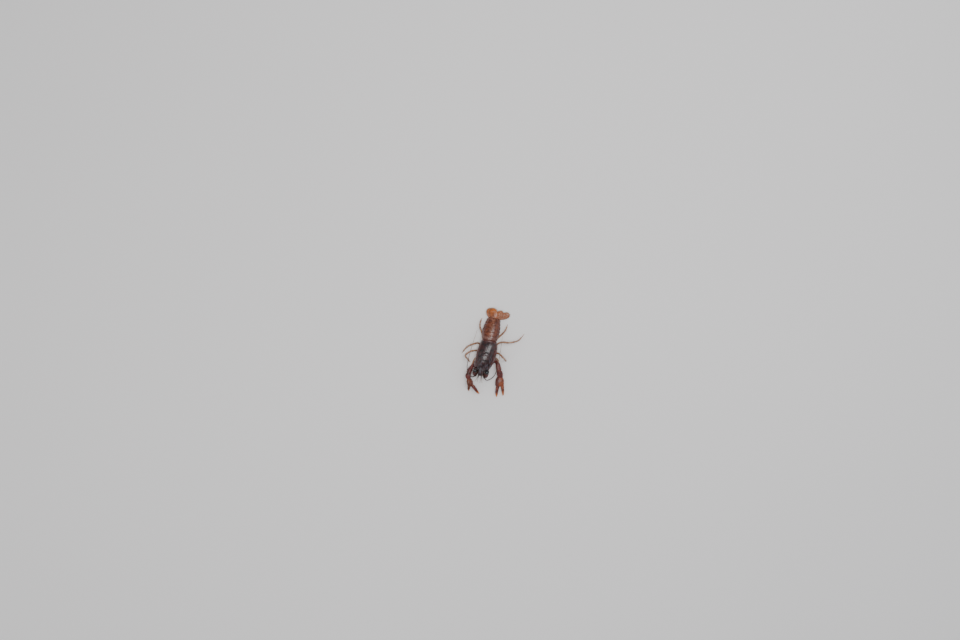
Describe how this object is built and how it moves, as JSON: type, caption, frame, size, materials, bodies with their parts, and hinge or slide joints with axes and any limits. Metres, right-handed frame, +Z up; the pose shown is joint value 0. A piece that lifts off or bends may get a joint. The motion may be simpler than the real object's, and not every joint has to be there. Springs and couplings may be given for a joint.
{
  "type": "white-clawed crayfish model",
  "caption": "Still, life-size model of a young white-clawed crayfish lying belly down, claws laid forward, legs spread and tail fan half open.",
  "frame": {"origin": "middle of the flat of the belly plate, on the surface that the animal lies on, below the rear half of the carapace", "axes": "+Z up, +Y from head to tail, +X towards the animal's left side"},
  "size_m": [0.0133, 0.0201, 0.0036],
  "materials": {
    "carapace_shell": "wet, smooth shell, near black with maroon flanks and blue-grey glints",
    "belly_plate": "pale, dull underside",
    "eye": "black, polished, with a blue-green glint",
    "feeler": "thin, brown, half clear",
    "claw_arm": "dark purple-brown, wet",
    "claw_hand": "orange-brown, mottled, wet",
    "claw_finger": "red-brown with bright orange tips",
    "leg": "tan to olive, half clear, darker at the joints",
    "tail_shell": "red-brown, half clear, mottled, with darker edges",
    "tail_fan": "amber, half clear, fringed with hairs"
  },
  "bodies": {
    "root": {"abdomen_1": "tail_shell", "abdomen_2": "tail_shell", "abdomen_3": "tail_shell", "abdomen_4": "tail_shell", "abdomen_5": "tail_shell", "abdomen_6": "tail_shell", "antenna_left": "feeler", "antenna_right": "feeler", "antennal_scale_left": "feeler", "antennal_scale_right": "feeler", "antennule_left": "feeler", "antennule_right": "feeler", "carapace": "carapace_shell", "claw_arm_left": "claw_arm", "claw_arm_right": "claw_arm", "claw_finger_left": "claw_finger", "claw_finger_right": "claw_finger", "claw_hand_left": "claw_hand", "claw_hand_right": "claw_hand", "claw_wrist_left": "claw_arm", "claw_wrist_right": "claw_arm", "eye_left": "eye", "eye_right": "eye", "leg_2_lower_left": "leg", "leg_2_lower_right": "leg", "leg_2_upper_left": "leg", "leg_2_upper_right": "leg", "leg_3_lower_left": "leg", "leg_3_lower_right": "leg", "leg_3_upper_left": "leg", "leg_3_upper_right": "leg", "leg_4_lower_left": "leg", "leg_4_lower_right": "leg", "leg_4_upper_left": "leg", "leg_4_upper_right": "leg", "leg_5_lower_left": "leg", "leg_5_lower_right": "leg", "leg_5_upper_left": "leg", "leg_5_upper_right": "leg", "maxilliped_left": "leg", "maxilliped_right": "leg", "sternum": "belly_plate", "telson": "tail_fan", "uropod_inner_left": "tail_fan", "uropod_inner_right": "tail_fan", "uropod_outer_left": "tail_fan", "uropod_outer_right": "tail_fan"}
  },
  "joints": []
}
